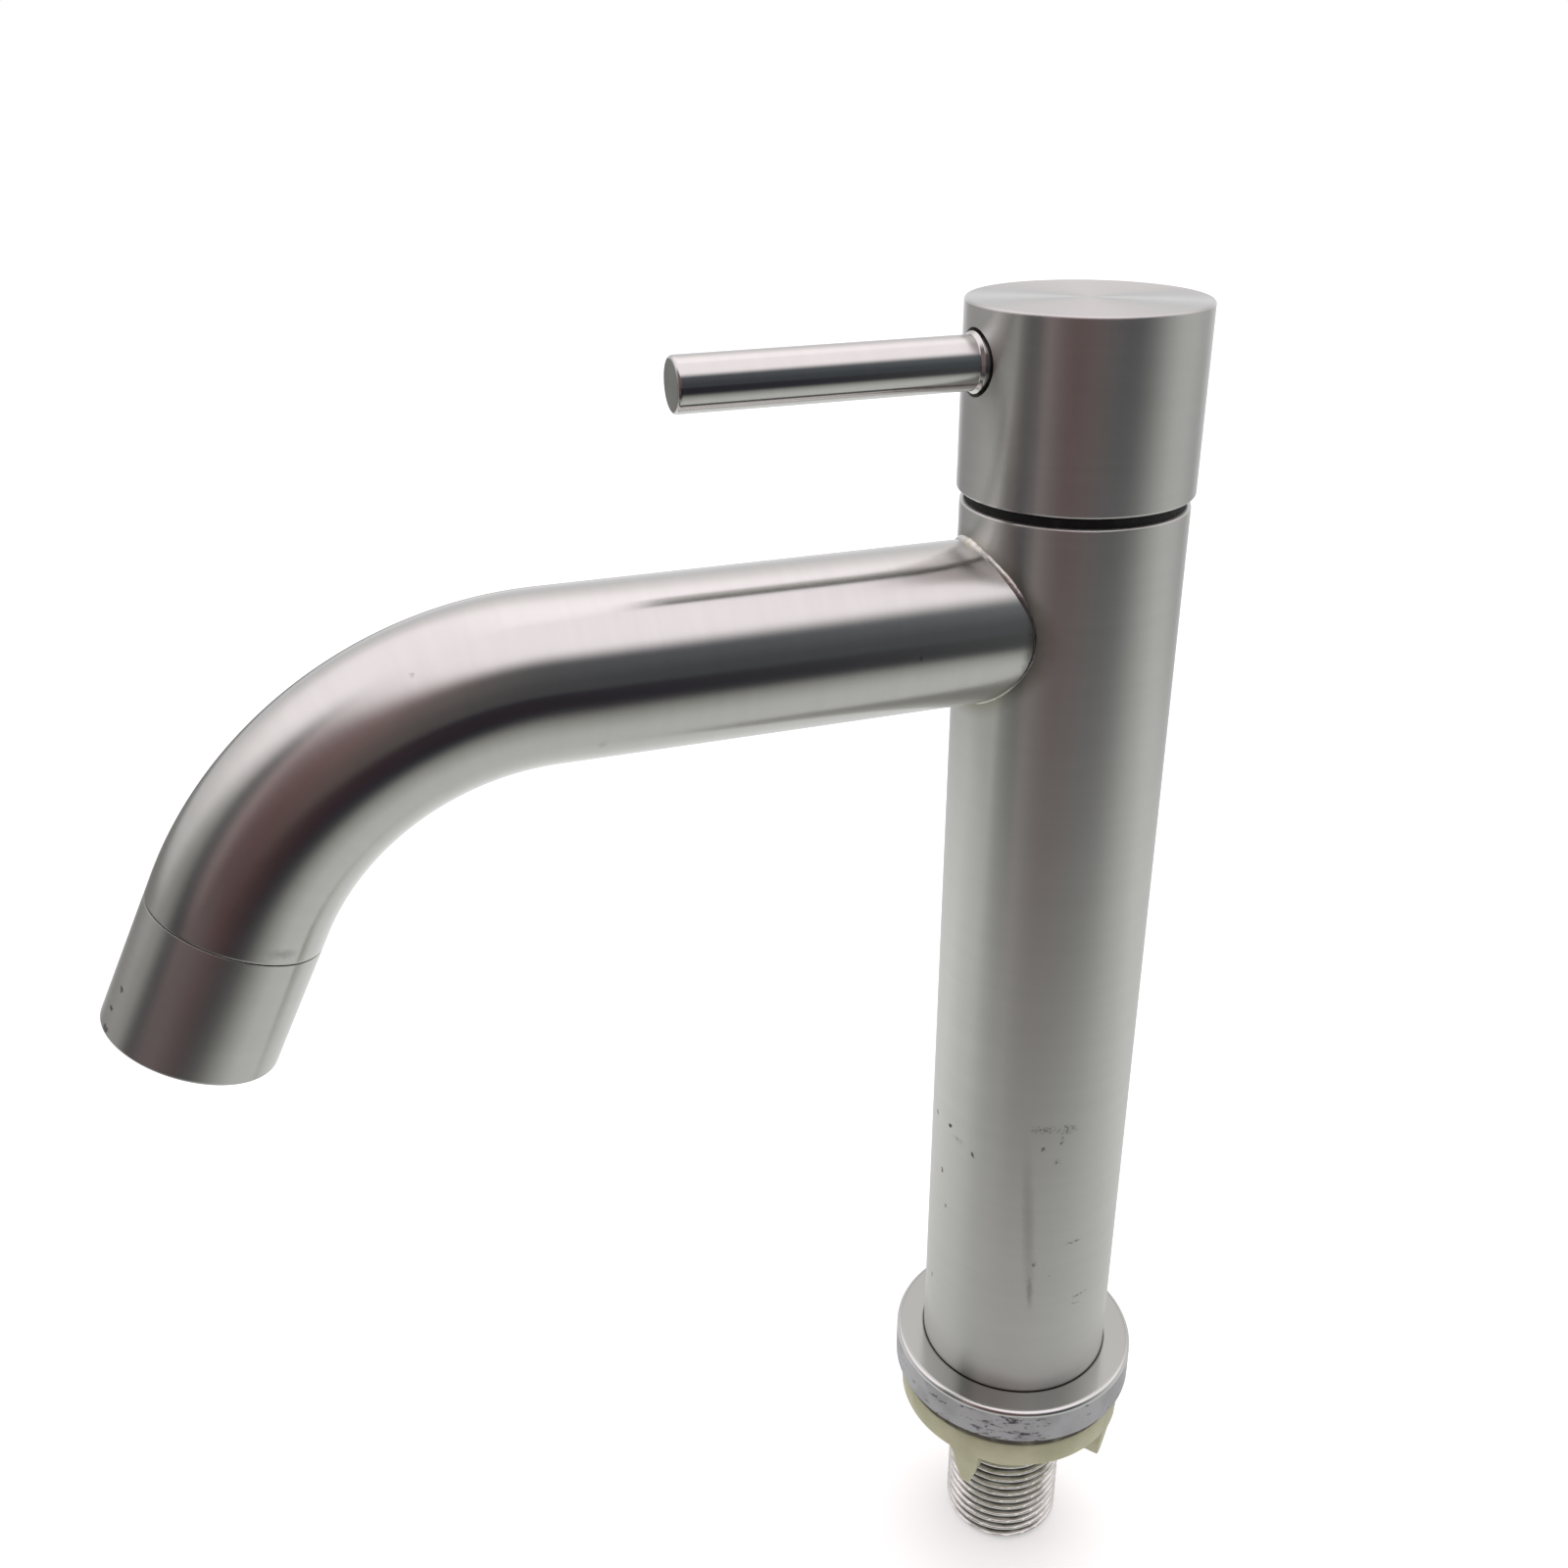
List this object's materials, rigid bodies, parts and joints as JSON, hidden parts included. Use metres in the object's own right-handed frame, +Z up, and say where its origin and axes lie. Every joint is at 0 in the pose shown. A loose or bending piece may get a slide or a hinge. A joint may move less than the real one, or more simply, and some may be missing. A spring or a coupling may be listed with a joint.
{
  "type": "basin tap",
  "caption": "Tall single cold-water basin tap: upright round body, bent spout with aerator, quarter-turn lever head, flange, threaded shank and winged back nut.",
  "frame": {"origin": "centre of the flange's steel underside, on the axis of the body, at the top of the deck", "axes": "+Z up along the body, -Y towards the spout's outlet and the lever at rest, X across"},
  "size_m": [0.043, 0.1628, 0.2302],
  "materials": {
    "brushed_steel": "satin, fine brushed grain",
    "plain_steel": "turned, unpolished",
    "thread_steel": "bright cut thread",
    "weld_steel": "as welded, light heat tint",
    "screen_steel": "fine woven screen, bright",
    "spring_steel": "dark spring steel",
    "brass": "machined",
    "rubber": "matt black",
    "black_trim": "matt black",
    "nut_plastic": "cream, moulded",
    "aerator_plastic": "pale grey, moulded",
    "ceramic": "lapped ceramic, glossy",
    "fibre": "pressed red fibre"
  },
  "bodies": {
    "fixed_body": {"body_tube": "brushed_steel", "bottom_plug": "plain_steel", "riser_tube": "plain_steel", "valve_seat": "plain_steel", "top_collar": "plain_steel", "trim_ring": "black_trim", "spout_tube": "brushed_steel", "spout_weld_bead": "weld_steel", "spout_end_ring": "plain_steel", "aerator_housing": "brushed_steel", "aerator_washer": "rubber", "aerator_cage": "aerator_plastic", "aerator_flow_disc": "aerator_plastic", "aerator_screens": "screen_steel", "base_flange": "brushed_steel", "base_gasket": "rubber", "threaded_shank": "thread_steel", "headwork_body": "brass", "fibre_washer": "fibre", "seat_seal": "rubber", "lower_ceramic_disc": "ceramic", "thrust_washer": "aerator_plastic"},
    "handle": {"handle_head": "brushed_steel", "lever_rod": "brushed_steel", "spline_bush": "aerator_plastic", "set_screw": "plain_steel", "spindle": "brass", "spindle_orings": "rubber", "spindle_circlip": "spring_steel", "upper_ceramic_disc": "ceramic"},
    "washer": {"clamp_washer": "rubber"},
    "nut": {"back_nut": "nut_plastic"}
  },
  "joints": [
    {"name": "handle_turn", "type": "hinge", "parent": "fixed_body", "child": "handle", "pos_m": [0, 0, 0.1784], "axis": [0, 0, 1], "range_deg": [0, 90]},
    {"name": "back_nut_travel", "type": "slide", "parent": "fixed_body", "child": "washer", "axis": [0, 0, -1], "range_m": [0, 0.01996]},
    {"name": "back_nut_turn", "type": "hinge", "parent": "washer", "child": "nut", "pos_m": [0, 0, -0.009], "axis": [0, 0, -1], "range_deg": [0, 3960]}
  ],
  "couplings": [
    {"joint": "back_nut_turn", "follows": "back_nut_travel", "rad_per_m": 3463.2}
  ]
}
